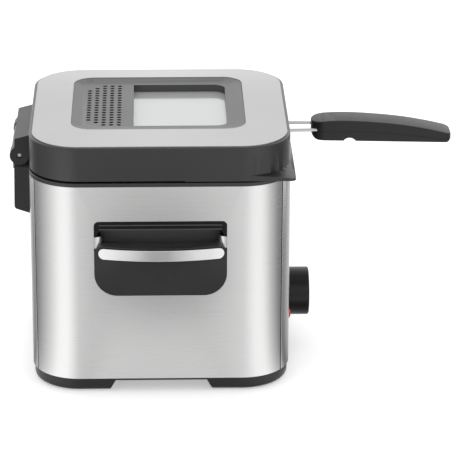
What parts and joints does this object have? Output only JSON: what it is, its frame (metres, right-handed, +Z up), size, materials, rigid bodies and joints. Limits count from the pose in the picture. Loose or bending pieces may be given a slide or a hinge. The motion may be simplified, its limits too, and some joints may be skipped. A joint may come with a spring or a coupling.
{
  "type": "deep fryer",
  "caption": "Compact square deep fryer with a hinged windowed lid, a lift-out basket on a long handle and a temperature knob.",
  "frame": {"origin": "bottom centre of the whole object's box, at the height of the foot pads", "axes": "+X to the front (knob and basket handle), -X to the hinge, +Z up; the right side is -Y"},
  "size_m": [0.3678, 0.2232, 0.2176],
  "materials": {
    "brushed_steel": "fine brushed stainless sheet",
    "black_plastic": "satin moulded thermoplastic",
    "grip_plastic": "satin moulded thermoplastic",
    "nonstick": "non-stick coating",
    "chrome_wire": "bright wire",
    "satin_bar": "satin silver trim",
    "sheet_aluminium": "plain sheet",
    "bare_steel": "plain steel",
    "rubber": "soft rubber",
    "window_glass": "clear pane",
    "filter_foam": "open fibre mat",
    "red_lens": "translucent red lens",
    "white_inlay": "moulded inlay",
    "heat_ceramic": "glazed ceramic and phenolic"
  },
  "bodies": {
    "housing": {"side_panel_right": "brushed_steel", "side_panel_left": "brushed_steel", "front_panel": "brushed_steel", "rear_panel": "brushed_steel", "upper_rim": "black_plastic", "base_tray": "black_plastic", "side_handle_pocket_right": "black_plastic", "side_handle_pocket_left": "black_plastic", "side_handle_plate_right": "black_plastic", "side_handle_plate_left": "black_plastic", "hinge_bracket": "black_plastic", "cord_gland": "black_plastic", "oil_pot": "nonstick", "side_handle_bar_right": "satin_bar", "side_handle_bar_left": "satin_bar", "heat_shield": "sheet_aluminium", "hinge_pin": "bare_steel", "heating_element": "bare_steel", "thermostat_bulb": "bare_steel", "base_screws": "bare_steel", "shield_screws": "bare_steel", "side_handle_screws": "bare_steel", "hinge_screws": "bare_steel", "foot_pads": "rubber", "pilot_lamp": "red_lens", "thermostat": "heat_ceramic", "thermal_cutout": "heat_ceramic", "terminal_block": "heat_ceramic"},
    "lid": {"lid_skirt": "black_plastic", "lid_top_plate": "brushed_steel", "lid_well_panel": "black_plastic", "window_pane": "window_glass", "window_gasket": "rubber", "filter_cassette": "black_plastic", "filter_mat": "filter_foam", "lid_liner": "sheet_aluminium", "lid_screws": "bare_steel", "lid_hinge_arm": "black_plastic", "lid_arm_screws": "bare_steel"},
    "basket": {"basket_mesh": "chrome_wire", "basket_rim": "chrome_wire", "basket_feet": "chrome_wire", "basket_bracket": "chrome_wire", "handle_wires": "chrome_wire", "grip_upper": "grip_plastic", "grip_lower": "grip_plastic", "grip_screws": "bare_steel"},
    "knob": {"control_knob": "black_plastic", "knob_pointer": "white_inlay", "knob_shaft": "bare_steel"}
  },
  "joints": [
    {"name": "lid_hinge", "type": "hinge", "parent": "housing", "child": "lid", "pos_m": [-0.1759, 0, 0.1855], "axis": [0, -1, 0], "range_deg": [0, 88]},
    {"name": "basket_lift", "type": "slide", "parent": "housing", "child": "basket", "axis": [0, 0, 1], "range_m": [0, 0.13]},
    {"name": "knob_turn", "type": "hinge", "parent": "housing", "child": "knob", "pos_m": [0.0579, 0, 0.0467], "axis": [-1, 0, 0], "range_deg": [0, 270]}
  ],
  "couplings": [
    {"joint": "basket_lift", "follows": "lid_hinge", "m_per_rad": 0.0846}
  ]
}
